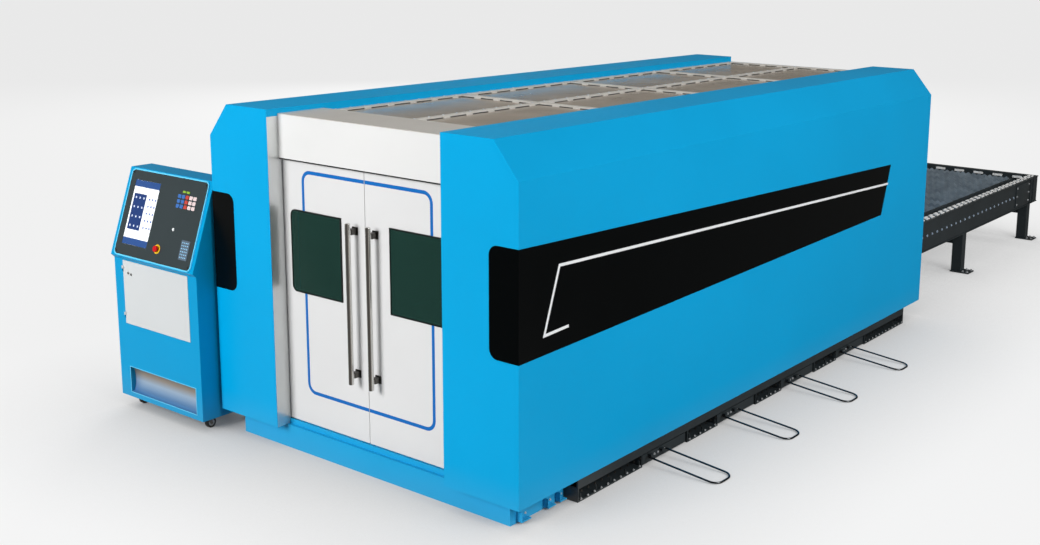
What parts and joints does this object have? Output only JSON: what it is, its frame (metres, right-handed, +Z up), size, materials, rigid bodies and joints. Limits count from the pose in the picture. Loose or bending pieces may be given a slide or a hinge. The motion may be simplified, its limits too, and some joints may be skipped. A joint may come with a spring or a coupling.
{
  "type": "fiber laser cutting machine",
  "caption": "Enclosed flat-bed fiber laser cutting machine with sliding front doors, gantry, scrap drawers, a two-level pallet exchange table and a separate operator console.",
  "frame": {"origin": "on the floor, in the middle of the four anchor holes in the machine's end feet", "axes": "+X to the drawer side, +Y from the doors to the exchange table, +Z up"},
  "size_m": [3.9335, 9.455, 2.15],
  "materials": {
    "blue_paint": "semi-gloss",
    "white_paint": "semi-gloss",
    "black_paint": "satin",
    "band_finish": "semi-gloss",
    "lining": "satin",
    "dark_steel": "worn",
    "bright_steel": "ground",
    "chrome_bar": "polished",
    "pull_bar": "satin",
    "window_glass": "polished",
    "roof_glass": "polished",
    "roof_metal": "satin",
    "gantry_metal": "satin",
    "motor_black": "satin",
    "panel_plastic": "satin",
    "screen_glass": "polished",
    "red_plastic": "gloss",
    "caster_metal": "zinc",
    "caster_tyre": "matte"
  },
  "bodies": {
    "machine": {"left_side_cover": "blue_paint", "right_side_cover": "blue_paint", "left_front_pillar": "blue_paint", "right_front_pillar": "blue_paint", "front_plinth": "blue_paint", "rear_wall": "blue_paint", "console_body": "blue_paint", "door_tracks": "blue_paint", "header_panel": "white_paint", "foot_beams": "black_paint", "bed_frames": "black_paint", "table_frame": "black_paint", "table_legs": "black_paint", "side_bands": "band_finish", "door_jambs": "lining", "scrap_chutes": "dark_steel", "pallet_rails": "dark_steel", "drive_chains": "dark_steel", "y_guides": "bright_steel", "roof_panes": "roof_glass", "roof_frame": "roof_metal", "table_gearmotor": "motor_black", "console_panel": "panel_plastic", "console_screen": "screen_glass", "rear_caster_brackets": "caster_metal"},
    "left_leaf": {"left_door": "white_paint", "left_window": "window_glass", "left_handle": "chrome_bar"},
    "right_leaf": {"right_door": "white_paint", "right_window": "window_glass", "right_handle": "chrome_bar"},
    "gantry": {"gantry_beam": "gantry_metal", "gantry_ends": "gantry_metal", "gantry_motors": "motor_black", "x_rails": "bright_steel"},
    "carriage": {"x_carriage": "gantry_metal", "lift_motor": "motor_black"},
    "lift": {"lift_slide": "gantry_metal", "cutting_head": "gantry_metal"},
    "upper_table": {"upper_pallet": "black_paint", "upper_slats": "dark_steel"},
    "lower_table": {"lower_pallet": "black_paint", "lower_slats": "dark_steel"},
    "drive_shaft_body": {"drive_shaft": "dark_steel"},
    "console_leaf": {"console_door": "white_paint"},
    "stop": {"stop_button": "red_plastic"},
    "drawer_1_body": {"drawer_1": "black_paint"},
    "pull_1": {"drawer_pull_1": "pull_bar"},
    "drawer_2_body": {"drawer_2": "black_paint"},
    "pull_2": {"drawer_pull_2": "pull_bar"},
    "drawer_3_body": {"drawer_3": "black_paint"},
    "pull_3": {"drawer_pull_3": "pull_bar"},
    "drawer_4_body": {"drawer_4": "black_paint"},
    "pull_4": {"drawer_pull_4": "pull_bar"},
    "swivel_1": {"caster_fork_1": "caster_metal"},
    "swivel_2": {"caster_fork_2": "caster_metal"},
    "wheel_1": {"caster_wheel_1": "caster_tyre"},
    "wheel_2": {"caster_wheel_2": "caster_tyre"},
    "wheel_3": {"caster_wheel_3": "caster_tyre"},
    "wheel_4": {"caster_wheel_4": "caster_tyre"}
  },
  "joints": [
    {"name": "left_door_slide", "type": "slide", "parent": "machine", "child": "left_leaf", "axis": [-1, 0, 0], "range_m": [0, 0.5]},
    {"name": "right_door_slide", "type": "slide", "parent": "machine", "child": "right_leaf", "axis": [1, 0, 0], "range_m": [0, 0.5]},
    {"name": "gantry_travel", "type": "slide", "parent": "machine", "child": "gantry", "axis": [0, 1, 0], "range_m": [-3.1, 0]},
    {"name": "cross_travel", "type": "slide", "parent": "gantry", "child": "carriage", "axis": [1, 0, 0], "range_m": [0, 1.52]},
    {"name": "head_lift", "type": "slide", "parent": "carriage", "child": "lift", "axis": [0, 0, 1], "range_m": [-0.155, 0]},
    {"name": "lower_pallet_travel", "type": "slide", "parent": "machine", "child": "lower_table", "axis": [0, 1, 0], "range_m": [0, 4.8]},
    {"name": "upper_pallet_travel", "type": "slide", "parent": "machine", "child": "upper_table", "axis": [0, 1, 0], "range_m": [-4.8, 0]},
    {"name": "drive_shaft_spin", "type": "hinge", "parent": "machine", "child": "drive_shaft_body", "pos_m": [0, 6.27, 0.385], "axis": [1, 0, 0], "continuous": true},
    {"name": "drawer_1_slide", "type": "slide", "parent": "machine", "child": "drawer_1_body", "axis": [1, 0, 0], "range_m": [0, 1.2]},
    {"name": "pull_1_hinge", "type": "hinge", "parent": "drawer_1_body", "child": "pull_1", "pos_m": [1.25, -1.359, 0.055], "axis": [0, -1, 0], "range_deg": [0, 75]},
    {"name": "drawer_2_slide", "type": "slide", "parent": "machine", "child": "drawer_2_body", "axis": [1, 0, 0], "range_m": [0, 1.2]},
    {"name": "pull_2_hinge", "type": "hinge", "parent": "drawer_2_body", "child": "pull_2", "pos_m": [1.25, -0.479, 0.055], "axis": [0, -1, 0], "range_deg": [0, 75]},
    {"name": "drawer_3_slide", "type": "slide", "parent": "machine", "child": "drawer_3_body", "axis": [1, 0, 0], "range_m": [0, 1.2]},
    {"name": "pull_3_hinge", "type": "hinge", "parent": "drawer_3_body", "child": "pull_3", "pos_m": [1.25, 0.401, 0.055], "axis": [0, -1, 0], "range_deg": [0, 75]},
    {"name": "drawer_4_slide", "type": "slide", "parent": "machine", "child": "drawer_4_body", "axis": [1, 0, 0], "range_m": [0, 1.2]},
    {"name": "pull_4_hinge", "type": "hinge", "parent": "drawer_4_body", "child": "pull_4", "pos_m": [1.25, 1.281, 0.055], "axis": [0, -1, 0], "range_deg": [0, 75]},
    {"name": "console_door_hinge", "type": "hinge", "parent": "machine", "child": "console_leaf", "pos_m": [-2.087, -2.826, 0.82], "axis": [0, 0, -1], "range_deg": [0, 110]},
    {"name": "stop_button_press", "type": "slide", "parent": "machine", "child": "stop", "axis": [0, 0.9478, -0.319], "range_m": [0, 0.006]},
    {"name": "caster_1_swivel", "type": "hinge", "parent": "machine", "child": "swivel_1", "pos_m": [-2.1, -2.73, 0.035], "axis": [0, 0, 1], "continuous": true},
    {"name": "caster_2_swivel", "type": "hinge", "parent": "machine", "child": "swivel_2", "pos_m": [-1.37, -2.73, 0.035], "axis": [0, 0, 1], "continuous": true},
    {"name": "caster_1_wheel", "type": "hinge", "parent": "swivel_1", "child": "wheel_1", "pos_m": [-2.1, -2.708, 0.035], "axis": [1, 0, 0], "continuous": true},
    {"name": "caster_2_wheel", "type": "hinge", "parent": "swivel_2", "child": "wheel_2", "pos_m": [-1.37, -2.708, 0.035], "axis": [1, 0, 0], "continuous": true},
    {"name": "caster_3_wheel", "type": "hinge", "parent": "machine", "child": "wheel_3", "pos_m": [-2.1, -2.388, 0.035], "axis": [1, 0, 0], "continuous": true},
    {"name": "caster_4_wheel", "type": "hinge", "parent": "machine", "child": "wheel_4", "pos_m": [-1.37, -2.388, 0.035], "axis": [1, 0, 0], "continuous": true}
  ],
  "couplings": [
    {"joint": "upper_pallet_travel", "follows": "lower_pallet_travel", "ratio": -1},
    {"joint": "drive_shaft_spin", "follows": "lower_pallet_travel", "rad_per_m": -38.462}
  ]
}
